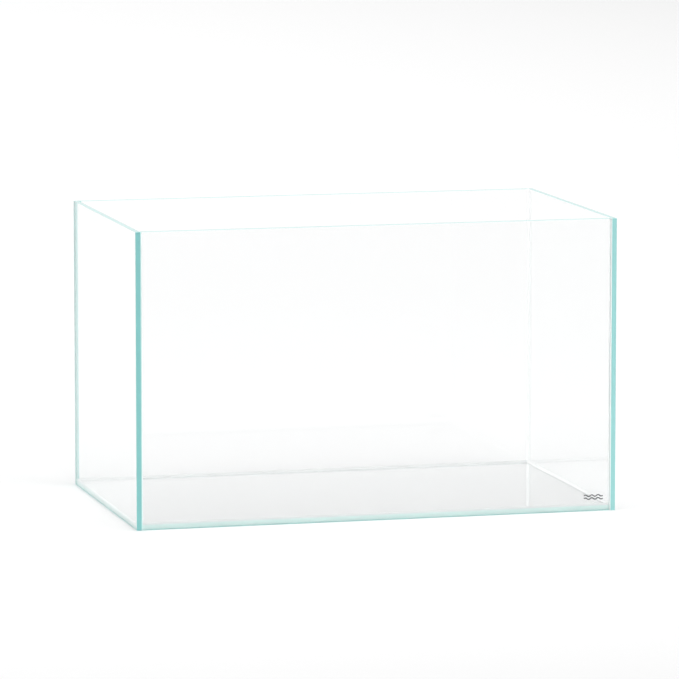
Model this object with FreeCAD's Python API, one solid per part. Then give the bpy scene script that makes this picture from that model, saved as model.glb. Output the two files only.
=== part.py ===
import FreeCAD, Part
import math
import os

# Rimless open-topped glass aquarium tank: five glass panes, eight silicone seams and a small mark.
#
# Frame: origin on the ground at the centre of the footprint, +X along the length, -Y to the front, +Z up.
# The two side panes run the full depth and show their ends at the front and the back. The front and back
# panes stand between them, and the base pane lies inside the four walls, which all reach the ground.

# Driving dimensions, millimetres
LENGTH = 600.0          # outside, along X
DEPTH = 360.0           # outside, along Y
HEIGHT = 360.0          # outside, along Z
GLASS = 6.0             # thickness of every pane
ARRIS = 0.3             # flat ground on every edge of a pane
BOND = 0.8              # silicone between the edge of one pane and the face of the next
BEAD_LEG = 2.5          # width of an inner seal bead on each of its two panes
BEAD_HOLLOW = 0.40      # how far out the middle of the tooled hollow lies, as a share of the leg

MARK_WIDTH = 24.0       # printed mark: length of each wavy line
MARK_LINE = 1.3         # width of a wavy line
MARK_PITCH = 3.6        # height from one wavy line to the next
MARK_HALF_WAVES = 6     # crests and troughs along a wavy line
MARK_SWING = 50.0       # half the angle that each crest or trough turns through, degrees
MARK_INK = 0.1          # thickness of the print
MARK_FROM_RIGHT = 16.0  # from the mark's right end to the tank's right side
MARK_UP = 15.5          # from the ground to the middle of the lower wavy line

# Planes of the walls and ends of the panes between them
SIDE_OUT = LENGTH / 2
SIDE_IN = SIDE_OUT - GLASS
FACE_OUT = DEPTH / 2
FACE_IN = FACE_OUT - GLASS
SHORT_END_X = SIDE_IN - BOND    # half length of the front, back and base panes
SHORT_END_Y = FACE_IN - BOND    # half depth of the base pane

SIGN = {"left": -1, "right": 1, "front": -1, "back": 1}
X_AXIS = FreeCAD.Vector(1, 0, 0)
Y_AXIS = FreeCAD.Vector(0, 1, 0)
Z_AXIS = FreeCAD.Vector(0, 0, 1)


def block(x_range, y_range, z_range):
    """An axis-aligned block between two bounds on each axis, in either order."""
    ranges = (x_range, y_range, z_range)
    corner = FreeCAD.Vector(*[min(bounds) for bounds in ranges])
    sizes = [abs(bounds[1] - bounds[0]) for bounds in ranges]
    return Part.makeBox(*sizes, corner)


def pane(x_range, y_range, z_range):
    """A sheet of glass with an arris ground on all its edges."""
    sheet = block(x_range, y_range, z_range)
    return sheet.makeChamfer(ARRIS, sheet.Edges)


def fill(space, neighbours):
    """Silicone pressed into a space: the one solid that its neighbours leave free."""
    (rest,) = space.cut(neighbours).removeSplitter().Solids
    return rest


def make_panes():
    """The five sheets of glass."""
    between_sides = (-SHORT_END_X, SHORT_END_X)
    between_faces = (-SHORT_END_Y, SHORT_END_Y)
    upright = (0, HEIGHT)
    panes = {"bottom_pane": pane(between_sides, between_faces, (0, GLASS))}
    for face in ("front", "back"):
        y_range = (SIGN[face] * FACE_IN, SIGN[face] * FACE_OUT)
        panes[f"{face}_pane"] = pane(between_sides, y_range, upright)
    for side in ("left", "right"):
        x_range = (SIGN[side] * SIDE_IN, SIGN[side] * SIDE_OUT)
        panes[f"{side}_pane"] = pane(x_range, (-FACE_OUT, FACE_OUT), upright)
    return panes


def make_bonds(panes):
    """The structural silicone: four upright joints, then the four joints round the base pane.

    Each joint is as wide as its gap, and fills the arrises on both sides of it flush with the glass.
    """
    glass = list(panes.values())
    bonds = {}
    for face in ("front", "back"):
        for side in ("left", "right"):
            x_range = (SIGN[side] * SIDE_IN, SIGN[side] * (SHORT_END_X - ARRIS))
            y_range = (SIGN[face] * FACE_IN, SIGN[face] * FACE_OUT)
            joint = block(x_range, y_range, (0, HEIGHT))
            bonds[f"bond_{face}_{side}"] = fill(joint, glass)
    for side in ("left", "right"):
        x_range = (SIGN[side] * SIDE_IN, SIGN[side] * (SHORT_END_X - ARRIS))
        joint = block(x_range, (-FACE_IN, FACE_IN), (0, GLASS))
        bonds[f"bond_base_{side}"] = fill(joint, glass + list(bonds.values()))
    for face in ("front", "back"):
        y_range = (SIGN[face] * FACE_IN, SIGN[face] * (SHORT_END_Y - ARRIS))
        joint = block((-SIDE_IN, SIDE_IN), y_range, (0, GLASS))
        bonds[f"bond_base_{face}"] = fill(joint, glass + list(bonds.values()))
    return bonds


def bead_section(corner, along_a, along_b):
    """A seal bead's cross-section: two straight legs on the glass and a tooled hollow between them.

    corner is where the two faces of glass meet, and along_a and along_b lead away from it on each face.
    """
    tip_a = corner + along_a * BEAD_LEG
    tip_b = corner + along_b * BEAD_LEG
    middle = corner + (along_a + along_b) * (BEAD_LEG * BEAD_HOLLOW)
    hollow = Part.Arc(tip_a, middle, tip_b).toShape()
    legs = [Part.makeLine(tip_b, corner), Part.makeLine(corner, tip_a)]
    return Part.Face(Part.Wire([hollow] + legs))


def make_beads():
    """The inner seal: four upright beads, then four round the floor, each coped to those before it."""
    beads = {}
    for face in ("front", "back"):
        for side in ("left", "right"):
            foot = FreeCAD.Vector(SIGN[side] * SIDE_IN, SIGN[face] * FACE_IN, GLASS)
            section = bead_section(foot, X_AXIS * -SIGN[side], Y_AXIS * -SIGN[face])
            beads[f"bead_{face}_{side}"] = section.extrude(Z_AXIS * (HEIGHT - ARRIS - GLASS))
    for face in ("front", "back"):
        start = FreeCAD.Vector(-SIDE_IN, SIGN[face] * FACE_IN, GLASS)
        section = bead_section(start, Y_AXIS * -SIGN[face], Z_AXIS)
        run = section.extrude(X_AXIS * (2 * SIDE_IN))
        beads[f"bead_base_{face}"] = fill(run, list(beads.values()))
    for side in ("left", "right"):
        start = FreeCAD.Vector(SIGN[side] * SIDE_IN, -FACE_IN, GLASS)
        section = bead_section(start, X_AXIS * -SIGN[side], Z_AXIS)
        run = section.extrude(Y_AXIS * (2 * FACE_IN))
        beads[f"bead_base_{side}"] = fill(run, list(beads.values()))
    return beads


def wavy_edge(left_end, middle_height, offset):
    """The tangent arcs along one edge of a wavy line, offset up or down from its middle line."""
    swing = math.radians(MARK_SWING)
    half_wave = MARK_WIDTH / MARK_HALF_WAVES
    radius = half_wave / (2 * math.sin(swing))
    arcs = []
    for number in range(MARK_HALF_WAVES):
        bulge = 1 if number % 2 == 0 else -1
        centre_x = left_end + half_wave * (number + 0.5)
        centre_z = middle_height - bulge * radius * math.cos(swing)
        reach = radius + bulge * offset
        points = []
        for turn in (-swing, 0, swing):
            x = centre_x + reach * math.sin(turn)
            z = centre_z + bulge * reach * math.cos(turn)
            points.append(FreeCAD.Vector(x, -FACE_OUT, z))
        arcs.append(Part.Arc(*points).toShape())
    return arcs


def wavy_line(left_end, middle_height):
    """One printed wavy line, a ribbon lying on the front pane's outer face."""
    top = wavy_edge(left_end, middle_height, MARK_LINE / 2)
    bottom = wavy_edge(left_end, middle_height, -MARK_LINE / 2)
    left_cap = Part.makeLine(bottom[0].firstVertex().Point, top[0].firstVertex().Point)
    right_cap = Part.makeLine(bottom[-1].lastVertex().Point, top[-1].lastVertex().Point)
    outline = Part.Wire(Part.__sortEdges__(top + bottom + [left_cap, right_cap]))
    return Part.Face(outline).extrude(Y_AXIS * -MARK_INK)


def make_mark():
    """A small generic mark of two plain wavy lines, printed low on the right of the front pane."""
    left_end = SIDE_OUT - MARK_FROM_RIGHT - MARK_WIDTH
    return {
        "mark_wave_lower": wavy_line(left_end, MARK_UP),
        "mark_wave_upper": wavy_line(left_end, MARK_UP + MARK_PITCH),
    }


def main():
    panes = make_panes()
    nodes = {**panes, **make_bonds(panes), **make_beads(), **make_mark()}
    os.makedirs("parts", exist_ok=True)
    for name, shape in nodes.items():
        shape.exportStep(f"parts/{name}.step")
        print(f"{name:18s} valid={shape.isValid()} solids={len(shape.Solids)} volume={shape.Volume:.2f} mm3")


main()
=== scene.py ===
import math

import bmesh
import bpy
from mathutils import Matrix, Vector, noise


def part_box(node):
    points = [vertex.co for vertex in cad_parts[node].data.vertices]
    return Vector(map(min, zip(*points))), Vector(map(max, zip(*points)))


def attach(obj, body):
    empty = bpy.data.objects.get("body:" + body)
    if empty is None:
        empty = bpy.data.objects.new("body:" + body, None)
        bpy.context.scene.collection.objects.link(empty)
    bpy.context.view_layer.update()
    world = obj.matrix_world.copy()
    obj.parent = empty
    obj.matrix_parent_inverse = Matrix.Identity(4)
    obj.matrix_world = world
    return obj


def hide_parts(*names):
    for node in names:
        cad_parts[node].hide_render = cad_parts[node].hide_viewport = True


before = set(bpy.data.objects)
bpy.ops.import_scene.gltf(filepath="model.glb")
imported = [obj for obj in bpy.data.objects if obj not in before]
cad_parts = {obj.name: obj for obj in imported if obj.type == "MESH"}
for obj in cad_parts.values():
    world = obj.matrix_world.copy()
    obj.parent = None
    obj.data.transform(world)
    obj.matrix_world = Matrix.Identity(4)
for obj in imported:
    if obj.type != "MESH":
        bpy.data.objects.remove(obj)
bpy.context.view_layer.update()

# A rimless glass tank in a white studio. The panes and the printed mark keep their CAD meshes and get
# procedural materials. Every silicone body is replaced by a piece with the small swells and hollows that
# tooling leaves. Lengths are in metres, colours are linear, and +Y is the back.

MM = 0.001
X, Y, Z = 0, 1, 2
UP = Vector((0, 0, 1))
SIGN = {"left": -1, "right": 1, "front": -1, "back": 1}

# Panes, and the axis through each one's thickness
PANES = {"bottom_pane": "Z", "front_pane": "Y", "back_pane": "Y", "left_pane": "X", "right_pane": "X"}

# Shape of the silicone
GAP = 0.03 * MM             # left between silicone and glass, so that neither reaches into the other
ARRIS = 0.3 * MM            # flat ground on the edges of the panes
BEAD_LEG = 2.5 * MM         # width of a bead on each of its two panes
BEAD_HOLLOW = 0.40          # how far out the middle of its tooled hollow lies, as a share of the leg
HOLLOW_POINTS = 7           # points round the hollow
BEAD_DRIFT = 0.006          # slow change of a bead's size along its run, as a share
BEAD_STEP = 8 * MM          # between cross-sections along a bead
BEAD_END = 4.6 * MM         # from a bead's end to its first regular cross-section
BEAD_END_STATIONS = 0.0, 1.6 * MM, 2.6 * MM     # extra cross-sections at an end that is cut square
CORNER_SWELL = 0.35         # a bead is this much larger in a corner where three meet
SWELL_REACH = 3.0 * MM
BOND_DRIFT = 0.01 * MM      # slow change of the depth of a bond's hollow
UPRIGHT_HOLLOW = 0.14 * MM  # how far an upright bond lies behind the outer faces
BASE_HOLLOW = 0.15 * MM     # how far the middle of a base bond's underside is drawn up
BASE_LIFT = 0.1 * MM        # from the ground to the lowest silicone
UPRIGHT_STEPS = 45
BASE_STEPS = 60
DRIFT_CELL = 0.04           # length of one slow swing along a seam
BEAD_SEED = 20              # between the random seeds of a bond and its bead

# Glass: pale faces, and teal where light has come a long way through it
GLASS_IOR = 1.52
FACE_COLOURS = (0.998, 0.990, 0.990), (1.0, 0.994, 0.994)
ARRIS_COLOURS = (0.90, 0.985, 0.98), (0.96, 1.0, 1.0)
RIM_COLOURS = (0.50, 0.83, 0.80), (0.58, 0.87, 0.84)
SHADED_END_LEFT, END_RIGHT = (0.30, 0.68, 0.67), (0.45, 0.82, 0.81)
END_SHADE_SPAN = -0.25, 0.35      # along X, where the open ends go from the darker teal on the left to the lighter on the right; the darker left is painted shade
ARRIS_CLARITY, RIM_CLARITY, END_CLARITY = 0.3, 0.1, 0.4     # the rest of the light is scattered
FACE_ROUGH = 0.0, 0.004
EDGE_ROUGH = 0.0, 0.02
ARRIS_ROUGH = 0.3, 0.5
DEEP_COLOUR = (0.0, 0.6, 0.6)
DEEP_DENSITY = 2.4
DRIFT_SCALE = 9.0
GRIND_SCALE = 900.0
TURN_LOW, TURN_HIGH = 0.3, 0.7      # share of a normal along an axis, from not facing it to facing it

# Silicone: darker and lighter colour of each kind, and how much light goes through unscattered
SILICONE_IOR = 1.41
# The upright bond (front left) and the teal seam (back left) are darker, teal copies of the pale bond:
# painted shade and glass tint
SHADED_UPRIGHT_BOND = (0.70, 0.92, 0.90), (0.80, 0.95, 0.94)
BASE_BOND = (0.78, 0.94, 0.92), (0.84, 0.97, 0.95)
SHADED_TEAL_SEAM = (0.30, 0.71, 0.69), (0.35, 0.74, 0.72)
PALE_BOND = (0.95, 0.99, 0.985), (1.0, 1.0, 1.0)
CLEAR_BEAD = (0.985, 0.99, 0.99), (1.0, 1.0, 1.0)
# Front and back base beads: greyer copies of the clear bead, painted shade
SHADED_FRONT_BEAD = (0.86, 0.87, 0.87), (0.89, 0.90, 0.90)
SHADED_BACK_BEAD = (0.79, 0.80, 0.80), (0.83, 0.84, 0.84)
BOND_CLARITY, BEAD_CLARITY, BASE_BEAD_CLARITY = 0.3, 0.25, 0.3
SILICONE_ROUGH = 0.14, 0.16
CLOUD_SCALE = 60.0
SKIN_SCALE = 1400.0

# Ink
INK_COLOURS = (0.03, 0.033, 0.036), (0.055, 0.058, 0.062)
INK_ROUGH = 0.45, 0.6
INK_SCALE = 1500.0

# Bump strengths, all with the same small depth
BUMP_DEPTH = 0.05 * MM
GLASS_BUMP, SILICONE_BUMP, INK_BUMP = 0.05, 0.1, 0.15

# Camera, in degrees, metres and millimetres of lens
VIEW_AZIMUTH, VIEW_ELEVATION = -14.6, 7.63
VIEW_DISTANCE = 6.61
VIEW_AIM = Vector((-0.0015, 0.0028, 0.1974))
LENS, SENSOR = 282.6, 36.0
VIEW_CLIP = 200

# Sky, and the key lamps: degrees to the right of the camera, and strength
HORIZON_TONE, ZENITH_TONE = 0.88, 0.915
KEY_ELEVATION = 42
KEY_ANGLE = 50
KEYS = {"key_right": (65, 0.70), "key_left": (-45, 0.61)}

# Floor: a painted pool of light, brightest round the tank and behind it, laid out along the tank's own axes
FLOOR_DROP = 0.3 * MM       # below the tank, so that the two never share a plane
FLOOR_REACH = 60.0
FLOOR_TONE = 0.898
FLOOR_GRAIN = 0.004
FLOOR_DARKEST = 0.73
FLOOR_ROUGH, FLOOR_SHINE = 0.8, 0.2
GRAIN_SCALE = 40.0
POOL_FRONT = 0.35           # from the tank's middle to where the tone starts to fall off in front of it
FRONT_FALL, BACK_FALL, SIDE_FALL = 0.11, 0.0004, 0.0105     # tone lost, times the distance squared

# Painted shadow on the floor under the tank and round it: share of light lost, and the distance it fades over
CLOSE_SHADE, CLOSE_REACH = 0.05, 0.07
BROAD_SHADE, BROAD_REACH = 0.03, 0.4
UNDER_FRONT, UNDER_BACK = 0.04, -0.045      # added to the painted shadow under the front and the back of the tank
BESIDE_FADE, BEFORE_FADE = 10.0, 100.0      # how much faster it fades beside and before the tank than behind

MAX_BOUNCES = 64


class Nodes:
    """A material's or world's node tree, with short calls for the nodes used here."""

    def __init__(self, owner):
        owner.use_nodes = True
        self.tree = owner.node_tree
        self.tree.nodes.clear()

    def add(self, kind, settings=None, **inputs):
        node = self.tree.nodes.new(kind)
        for name, value in (settings or {}).items():
            setattr(node, name, value)
        for name, value in inputs.items():
            self.put(node.inputs[name.replace("_", " ")], value)
        return node

    def put(self, socket, value):
        if isinstance(value, bpy.types.NodeSocket):
            self.tree.links.new(value, socket)
        else:
            socket.default_value = value

    def math(self, operation, *values):
        node = self.add("ShaderNodeMath", {"operation": operation})
        for socket, value in zip(node.inputs, values):
            self.put(socket, value)
        return node.outputs[0]

    def ramp(self, value, low, high, out_low=0.0, out_high=1.0):
        node = self.add("ShaderNodeMapRange")
        for name, number in (("Value", value), ("From Min", low), ("From Max", high),
                             ("To Min", out_low), ("To Max", out_high)):
            self.put(node.inputs[name], number)
        return node.outputs["Result"]

    def blend(self, factor, a, b):
        """A number between a and b."""
        node = self.add("ShaderNodeMix", {"data_type": "FLOAT"})
        for number, value in ((0, factor), (2, a), (3, b)):
            self.put(node.inputs[number], value)
        return node.outputs[0]

    def mix(self, factor, a, b):
        """A colour between a and b, each a socket or three numbers."""
        node = self.add("ShaderNodeMix", {"data_type": "RGBA"})
        for number, value in ((0, factor), (6, a), (7, b)):
            self.put(node.inputs[number], (*value, 1) if isinstance(value, tuple) else value)
        return node.outputs[2]

    def place(self):
        return self.add("ShaderNodeTexCoord").outputs["Object"]

    def split(self, vector):
        return self.add("ShaderNodeSeparateXYZ", Vector=vector).outputs

    def noise(self, vector, scale, detail=2.0):
        return self.add("ShaderNodeTexNoise", Vector=vector, Scale=scale, Detail=detail).outputs["Fac"]

    def bump(self, height, strength):
        node = self.add("ShaderNodeBump", Strength=strength, Distance=BUMP_DEPTH, Height=height)
        return node.outputs["Normal"]


def glass_material(name, thin_axis, open_ends=False, open_rim=True):
    """Extra clear float glass: clear faces, pale ground arrises, and teal rims and ends where they show."""
    material = bpy.data.materials.new(name)
    n = Nodes(material)
    place = n.place()
    normal = n.split(n.add("ShaderNodeNewGeometry").outputs["True Normal"])
    drift = n.noise(place, DRIFT_SCALE)
    grind = n.noise(place, GRIND_SCALE, 3.0)
    facing = n.math("ABSOLUTE", normal[thin_axis])

    # Each zone covers the ones before it: where it is, its colour, clarity and range of roughness
    arris = n.math("COMPARE", facing, math.sqrt(0.5), 0.1)
    zones = [(arris, n.mix(grind, *ARRIS_COLOURS), ARRIS_CLARITY, ARRIS_ROUGH)]
    if open_ends:
        end = n.ramp(n.math("ABSOLUTE", normal["Y"]), TURN_LOW, TURN_HIGH)
        # The teal of the open ends is the glass's own; their darkening towards the left is painted shade
        tint = n.ramp(n.math("ADD", n.split(place)["X"], n.math("MULTIPLY", drift, 0.1)), *END_SHADE_SPAN)
        zones.append((end, n.mix(tint, SHADED_END_LEFT, END_RIGHT), END_CLARITY, EDGE_ROUGH))
    if open_rim:
        rim = n.ramp(normal["Z"], TURN_LOW, TURN_HIGH)
        zones.append((rim, n.mix(drift, *RIM_COLOURS), RIM_CLARITY, EDGE_ROUGH))

    colour = n.mix(drift, *FACE_COLOURS)
    clarity, rough = 1.0, n.ramp(drift, 0.3, 0.7, *FACE_ROUGH)
    for zone, tone, zone_clarity, zone_rough in zones:
        colour = n.mix(zone, colour, tone)
        clarity = n.blend(zone, clarity, zone_clarity)
        rough = n.blend(zone, rough, n.ramp(grind, 0.2, 0.8, *zone_rough))
    edge_grind = n.math("MULTIPLY", grind, n.math("SUBTRACT", 1.0, facing))
    shader = n.add("ShaderNodeBsdfPrincipled", Base_Color=colour, Roughness=rough, IOR=GLASS_IOR,
                   Transmission_Weight=clarity, Normal=n.bump(edge_grind, GLASS_BUMP))
    absorb = n.add("ShaderNodeVolumeAbsorption", Color=(*DEEP_COLOUR, 1), Density=DEEP_DENSITY)
    n.add("ShaderNodeOutputMaterial", Surface=shader.outputs[0], Volume=absorb.outputs[0])
    return material


def silicone_material(name, colours, clarity):
    """Cured silicone: a milky, rubbery body with a fine orange-peel skin."""
    material = bpy.data.materials.new(name)
    n = Nodes(material)
    place = n.place()
    cloud = n.noise(place, CLOUD_SCALE, 3.0)
    skin = n.noise(place, SKIN_SCALE)
    shader = n.add("ShaderNodeBsdfPrincipled", Base_Color=n.mix(cloud, *colours), IOR=SILICONE_IOR,
                   Roughness=n.ramp(cloud, 0.3, 0.7, *SILICONE_ROUGH), Transmission_Weight=clarity,
                   Normal=n.bump(skin, SILICONE_BUMP))
    n.add("ShaderNodeOutputMaterial", Surface=shader.outputs[0])
    return material


def ink_material():
    """Dark printed ink with a slightly uneven cover."""
    material = bpy.data.materials.new("mark_ink")
    n = Nodes(material)
    speck = n.noise(n.place(), INK_SCALE, 3.0)
    shader = n.add("ShaderNodeBsdfPrincipled", Base_Color=n.mix(speck, *INK_COLOURS),
                   Roughness=n.ramp(speck, 0.3, 0.7, *INK_ROUGH), Normal=n.bump(speck, INK_BUMP))
    n.add("ShaderNodeOutputMaterial", Surface=shader.outputs[0])
    return material


def dress_cad_nodes():
    """Materials for the panes and the printed mark."""
    glass = {
        "X": glass_material("side_glass", "X", open_ends=True),
        "Y": glass_material("face_glass", "Y"),
        "Z": glass_material("base_glass", "Z", open_rim=False),
    }
    ink = ink_material()
    for name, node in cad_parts.items():
        if name in PANES:
            material, slot = glass[PANES[name]], "clear_glass"
        elif name.startswith("mark"):
            material, slot = ink, "mark_ink"
        else:
            continue
        node.data.materials.clear()
        node.data.materials.append(material)


def inner(node, axis):
    """Distance from the tank's middle plane to the nearer face of a wall."""
    low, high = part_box(node)
    return min(abs(low[axis]), abs(high[axis]))


def outer(node, axis):
    """Distance from the tank's middle plane to the farther face of a wall."""
    low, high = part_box(node)
    return max(abs(low[axis]), abs(high[axis]))


def drift_along(seed, along):
    """A slow random drift from about -1 to 1 along a seam."""
    return 2 * noise.noise(Vector((along / DRIFT_CELL, seed * 7.31, 0.5)))


def seam_piece(node, rings, material, fan_caps=False):
    """The piece that replaces one silicone node: a closed tube through rings of points, capped at both ends.

    A cap is one flat face, or a fan from the ring's first point where the outline is hollow.
    """
    count = len(rings[0])
    faces = []
    for base in range(0, (len(rings) - 1) * count, count):
        for j in range(count):
            k = (j + 1) % count
            faces.append((base + j, base + k, base + count + k, base + count + j))
    for base in (0, (len(rings) - 1) * count):
        if fan_caps:
            faces += [(base, base + j, base + j + 1) for j in range(1, count - 1)]
        else:
            faces.append(tuple(range(base, base + count)))
    name = "seam_" + node
    mesh = bpy.data.meshes.new(name)
    mesh.from_pydata([tuple(point) for ring in rings for point in ring], [], faces)
    mesh.validate()
    shape = bmesh.new()
    shape.from_mesh(mesh)
    bmesh.ops.recalc_face_normals(shape, faces=shape.faces)
    shape.to_mesh(mesh)
    shape.free()
    mesh.materials.append(material)
    piece = bpy.data.objects.new(name, mesh)
    bpy.context.scene.collection.objects.link(piece)
    mesh.shade_smooth()
    mesh.set_sharp_from_angle(angle=math.radians(35))
    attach(piece, "root")
    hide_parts(node)


def make_upright_bond(face, side, material, seed):
    """The silicone between a side pane and the end of the front or back pane, hollow on its outer face."""
    pane_low, pane_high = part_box(f"{face}_pane")
    side_in = inner(f"{side}_pane", X)
    end = pane_high.x
    face_in, face_out = inner(f"{face}_pane", Y), outer(f"{face}_pane", Y)
    rings = []
    for i in range(UPRIGHT_STEPS + 1):
        z = pane_low.z + (pane_high.z - pane_low.z) * i / UPRIGHT_STEPS
        hollow = UPRIGHT_HOLLOW + BOND_DRIFT * drift_along(seed, z)
        section = [
            (side_in - GAP, face_in),
            (side_in - GAP, face_out - ARRIS - GAP),
            (side_in + 0.1 * MM - GAP, face_out - ARRIS + 0.12 * MM),
            (side_in - 0.35 * MM, face_out - hollow),
            (end, face_out - hollow * 0.6),
            (end - ARRIS + 0.05 * MM, face_out - 0.01 * MM),
            (end + GAP, face_out - ARRIS + GAP),
            (end + GAP, face_in + ARRIS - GAP),
            (end - ARRIS + GAP, face_in - GAP),
            (end - ARRIS, face_in),
        ]
        rings.append([Vector((SIGN[side] * x, SIGN[face] * y, z)) for x, y in section])
    seam_piece(f"bond_{face}_{side}", rings, material)


def make_base_bond(wall, material, seed):
    """The silicone between one edge of the base pane and a wall, with its underside drawn up a little."""
    axis = X if wall in ("left", "right") else Y
    low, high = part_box("bottom_pane")
    wall_in = inner(f"{wall}_pane", axis)
    end = high[axis]
    reach = (high.x if axis == Y else inner("front_pane", Y)) - GAP
    rings = []
    for i in range(BASE_STEPS + 1):
        along = -reach + 2 * reach * i / BASE_STEPS
        hollow = BASE_HOLLOW + BOND_DRIFT * drift_along(seed, along)
        section = [
            (wall_in - GAP, high.z),
            (wall_in - GAP, BASE_LIFT),
            (wall_in - 0.5 * MM, hollow + BASE_LIFT),
            (end + GAP, ARRIS - GAP),
            (end + GAP, high.z - ARRIS + GAP),
            (end - ARRIS + GAP, high.z),
        ]
        ring = []
        for out, z in section:
            point = Vector((0, 0, z))
            point[axis] = SIGN[wall] * out
            point[1 - axis] = along
            ring.append(point)
        rings.append(ring)
    seam_piece(f"bond_base_{wall}", rings, material)


def bead_hollow():
    """Points of a bead's tooled hollow from one glass face to the other, as distances from the two faces."""
    middle = BEAD_LEG * BEAD_HOLLOW
    centre = (BEAD_LEG ** 2 - 2 * middle ** 2) / (2 * BEAD_LEG - 4 * middle)
    radius = math.hypot(BEAD_LEG - centre, centre)
    start = math.atan2(-centre, BEAD_LEG - centre)
    turn = math.atan2(BEAD_LEG - centre, -centre) - start
    points = []
    for i in range(HOLLOW_POINTS):
        angle = start + turn * i / (HOLLOW_POINTS - 1)
        a, b = centre + radius * math.cos(angle), centre + radius * math.sin(angle)
        points.append((max(0.0, a), max(0.0, b)))
    return points


def swell(from_end):
    """How much larger a bead is at a distance from an end that meets two others."""
    return 1 + CORNER_SWELL * math.exp(-(from_end / SWELL_REACH) ** 2)


def make_bead(node, start, end, away_a, away_b, material, seed, mitred_end=True):
    """A seal bead from start to end in the corner of two faces, which lead off along away_a and away_b.

    Its start, and its end if mitred_end, meets two other beads in a corner and is cut to a mitre with them.
    """
    run = (end - start).normalized()
    length = (end - start).length
    hollow = bead_hollow()

    def point(along, a, b):
        return start + run * along + away_a * a + away_b * b

    def regular_ring(along):
        size = (1 + BEAD_DRIFT * drift_along(seed, along)) * swell(along)
        if mitred_end:
            size *= swell(length - along)
        ring = [point(along, GAP, GAP)]
        for a, b in hollow:
            ring.append(point(along, a * size + GAP * (a > 0), b * size + GAP * (b > 0)))
        return ring

    def mitred_ring(at_end):
        ring = [point(length - GAP if at_end else GAP, GAP, GAP)]
        for a, b in hollow:
            from_end = max(a, b)
            for _ in range(8):
                from_end = max(a, b) * swell(from_end)
            along = length - from_end - GAP if at_end else from_end + GAP
            ring.append(point(along, a * swell(from_end) + GAP, b * swell(from_end) + GAP))
        return ring

    steps = max(8, int(length / BEAD_STEP))
    stations = [BEAD_END + (length - 2 * BEAD_END) * i / steps for i in range(steps + 1)]
    if not mitred_end:
        stations += [length - back for back in reversed(BEAD_END_STATIONS)]
    rings = [mitred_ring(False)] + [regular_ring(along) for along in stations]
    if mitred_end:
        rings.append(mitred_ring(True))
    seam_piece(node, rings, material, fan_caps=True)


def make_corner_seams(bond, bead, first_seed):
    """The four upright bonds and beads. The corners on the left get darker, teal copies of the silicone:
    painted shade and glass tint.
    """
    teal = silicone_material("shaded_teal_silicone", SHADED_TEAL_SEAM, BOND_CLARITY)
    pale = silicone_material("pale_bond_silicone", PALE_BOND, BOND_CLARITY)
    materials = {
        ("front", "left"): (bond, bead),
        ("front", "right"): (pale, bead),
        ("back", "left"): (teal, teal),
        ("back", "right"): (pale, bead),
    }
    base_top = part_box("bottom_pane")[1].z
    bead_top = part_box("front_pane")[1].z - ARRIS
    for seed, ((face, side), (corner_bond, corner_bead)) in enumerate(materials.items(), first_seed):
        make_upright_bond(face, side, corner_bond, seed)
        x, y = SIGN[side] * inner(f"{side}_pane", X), SIGN[face] * inner(f"{face}_pane", Y)
        foot, head = Vector((x, y, base_top)), Vector((x, y, bead_top))
        away_x, away_y = Vector((-SIGN[side], 0, 0)), Vector((0, -SIGN[face], 0))
        make_bead(f"bead_{face}_{side}", foot, head, away_x, away_y, corner_bead, seed + BEAD_SEED,
                  mitred_end=False)


def make_base_seams(bond, bead, first_seed):
    """The four bonds and beads round the base pane. The beads along the front and the back are greyer, as
    painted shade.
    """
    materials = {
        "front": silicone_material("shaded_front_bead_silicone", SHADED_FRONT_BEAD, BASE_BEAD_CLARITY),
        "back": silicone_material("shaded_back_bead_silicone", SHADED_BACK_BEAD, BASE_BEAD_CLARITY),
        "left": bead,
        "right": bead,
    }
    base_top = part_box("bottom_pane")[1].z
    for seed, (wall, wall_bead) in enumerate(materials.items(), first_seed):
        axis = X if wall in ("left", "right") else Y
        reach = inner("front_pane", Y) if axis == X else inner("left_pane", X)
        make_base_bond(wall, bond, seed)
        start, end, away = Vector((0, 0, base_top)), Vector((0, 0, base_top)), Vector((0, 0, 0))
        start[axis] = end[axis] = SIGN[wall] * inner(f"{wall}_pane", axis)
        start[1 - axis], end[1 - axis] = -reach, reach
        away[axis] = -SIGN[wall]
        make_bead(f"bead_base_{wall}", start, end, away, UP, wall_bead, seed + BEAD_SEED)


def make_silicone():
    base_bond = silicone_material("base_bond_silicone", BASE_BOND, BOND_CLARITY)
    upright_bond = silicone_material("shaded_upright_bond_silicone", SHADED_UPRIGHT_BOND, BOND_CLARITY)
    bead = silicone_material("bead_silicone", CLEAR_BEAD, BEAD_CLARITY)
    make_corner_seams(upright_bond, bead, 1)
    make_base_seams(base_bond, bead, 5)


def painted_light_pool(n, place):
    """The floor's tone, a painted pool of light: brightest under the tank and behind it, and falling off all
    round.
    """
    spot = n.split(place)

    def fall(distance, strength):
        return n.math("MULTIPLY", n.math("MULTIPLY", distance, distance), strength)

    before = n.math("MAXIMUM", n.math("SUBTRACT", n.math("MULTIPLY", spot["Y"], -1.0), POOL_FRONT), 0.0)
    behind = n.math("MAXIMUM", spot["Y"], 0.0)
    lost = n.math("ADD", n.math("ADD", fall(before, FRONT_FALL), fall(behind, BACK_FALL)),
                  fall(spot["X"], SIDE_FALL))
    grain = n.noise(place, GRAIN_SCALE, 3.0)
    brightest = n.ramp(grain, 0.0, 1.0, FLOOR_TONE - FLOOR_GRAIN, FLOOR_TONE + FLOOR_GRAIN)
    return n.math("MAXIMUM", n.math("SUBTRACT", brightest, lost), FLOOR_DARKEST)


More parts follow.
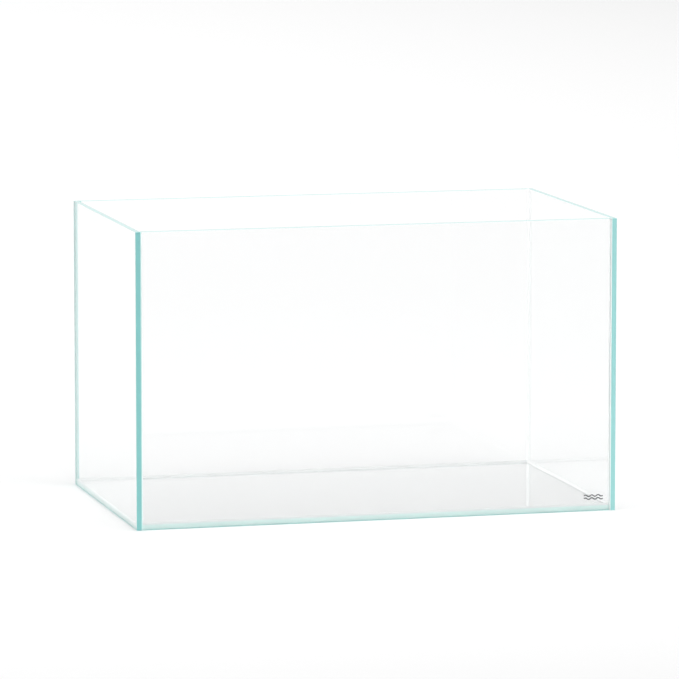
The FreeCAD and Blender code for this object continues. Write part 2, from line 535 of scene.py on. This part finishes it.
def tank_shade(n, place):
    """How much light the painted shadow leaves on the floor under the tank and round it, most of it lost
    behind the tank.
    """
    half_length, half_depth = inner("left_pane", X), inner("front_pane", Y)
    spot = n.split(place)

    def fade(strength, reach):
        return n.math("MULTIPLY", n.math("EXPONENT", n.math("MULTIPLY", distance, -1 / reach)), strength)

    def past(value, limit):
        return n.math("MAXIMUM", n.math("SUBTRACT", value, limit), 0.0)

    beside = past(n.math("ABSOLUTE", spot["X"]), half_length)
    behind = past(spot["Y"], half_depth)
    before = past(n.math("MULTIPLY", spot["Y"], -1.0), half_depth)
    distance = n.math("ADD", n.math("ADD", n.math("MULTIPLY", beside, BESIDE_FADE), behind),
                      n.math("MULTIPLY", before, BEFORE_FADE))
    under = n.math("MULTIPLY", n.ramp(spot["Y"], -half_depth, half_depth, UNDER_FRONT, UNDER_BACK),
                   n.math("LESS_THAN", distance, 1e-6))
    lost = n.math("ADD", n.math("ADD", fade(CLOSE_SHADE, CLOSE_REACH), fade(BROAD_SHADE, BROAD_REACH)), under)
    return n.math("SUBTRACT", 1.0, lost)


def make_floor():
    """A pale floor with a painted pool of light and a painted shadow of the tank."""
    material = bpy.data.materials.new("pale_floor")
    n = Nodes(material)
    place = n.place()
    tone = n.math("MULTIPLY", painted_light_pool(n, place), tank_shade(n, place))
    colour = n.add("ShaderNodeCombineColor", Red=tone, Green=tone, Blue=tone).outputs[0]
    shader = n.add("ShaderNodeBsdfPrincipled", Base_Color=colour, Roughness=FLOOR_ROUGH,
                   Specular_IOR_Level=FLOOR_SHINE)
    n.add("ShaderNodeOutputMaterial", Surface=shader.outputs[0])

    mesh = bpy.data.meshes.new("floor")
    turns = ((-1, -1), (1, -1), (1, 1), (-1, 1))
    corners = [(x * FLOOR_REACH, y * FLOOR_REACH, -FLOOR_DROP) for x, y in turns]
    mesh.from_pydata(corners, [], [(0, 1, 2, 3)])
    mesh.materials.append(material)
    floor = bpy.data.objects.new("floor", mesh)
    bpy.context.scene.collection.objects.link(floor)


def make_sky():
    """A white dome, a little brighter overhead."""
    world = bpy.data.worlds.new("studio")
    bpy.context.scene.world = world
    n = Nodes(world)
    direction = n.add("ShaderNodeTexCoord").outputs["Generated"]
    strength = n.ramp(n.split(direction)["Z"], 0.0, 1.0, HORIZON_TONE, ZENITH_TONE)
    sky = n.add("ShaderNodeBackground", Color=(1, 1, 1, 1), Strength=strength)
    n.add("ShaderNodeOutputWorld", Surface=sky.outputs[0])


def toward(azimuth, elevation):
    """The direction to a point in the studio: azimuth 0 is the front, and it grows to the right."""
    azimuth, elevation = math.radians(azimuth), math.radians(elevation)
    out = Vector((math.sin(azimuth), -math.cos(azimuth), 0))
    return out * math.cos(elevation) + UP * math.sin(elevation)


def make_lights():
    """Broad soft key lamps, one to each side of the camera."""
    for name, (turn, strength) in KEYS.items():
        data = bpy.data.lights.new(name, "SUN")
        data.energy = strength
        data.angle = math.radians(KEY_ANGLE)
        lamp = bpy.data.objects.new(name, data)
        lamp.rotation_euler = toward(VIEW_AZIMUTH + turn, KEY_ELEVATION).to_track_quat("Z", "Y").to_euler()
        bpy.context.scene.collection.objects.link(lamp)


def make_camera():
    back = toward(VIEW_AZIMUTH, VIEW_ELEVATION)
    data = bpy.data.cameras.new("camera")
    data.sensor_width = SENSOR
    data.lens = LENS
    data.clip_end = VIEW_CLIP
    camera = bpy.data.objects.new("camera", data)
    camera.location = VIEW_AIM + back * VIEW_DISTANCE
    camera.rotation_euler = (-back).to_track_quat("-Z", "Y").to_euler()
    bpy.context.scene.collection.objects.link(camera)
    bpy.context.scene.camera = camera


def set_light_paths():
    """Enough bounces for light inside the glass edges, and reflections kept sharp."""
    scene = bpy.context.scene
    scene.view_settings.view_transform = "Standard"
    cycles = scene.cycles
    cycles.max_bounces = MAX_BOUNCES
    cycles.transmission_bounces = MAX_BOUNCES
    cycles.glossy_bounces = MAX_BOUNCES
    cycles.diffuse_bounces = MAX_BOUNCES
    cycles.blur_glossy = 0.0


def main():
    set_light_paths()
    dress_cad_nodes()
    make_silicone()
    make_floor()
    make_sky()
    make_lights()
    make_camera()


main()
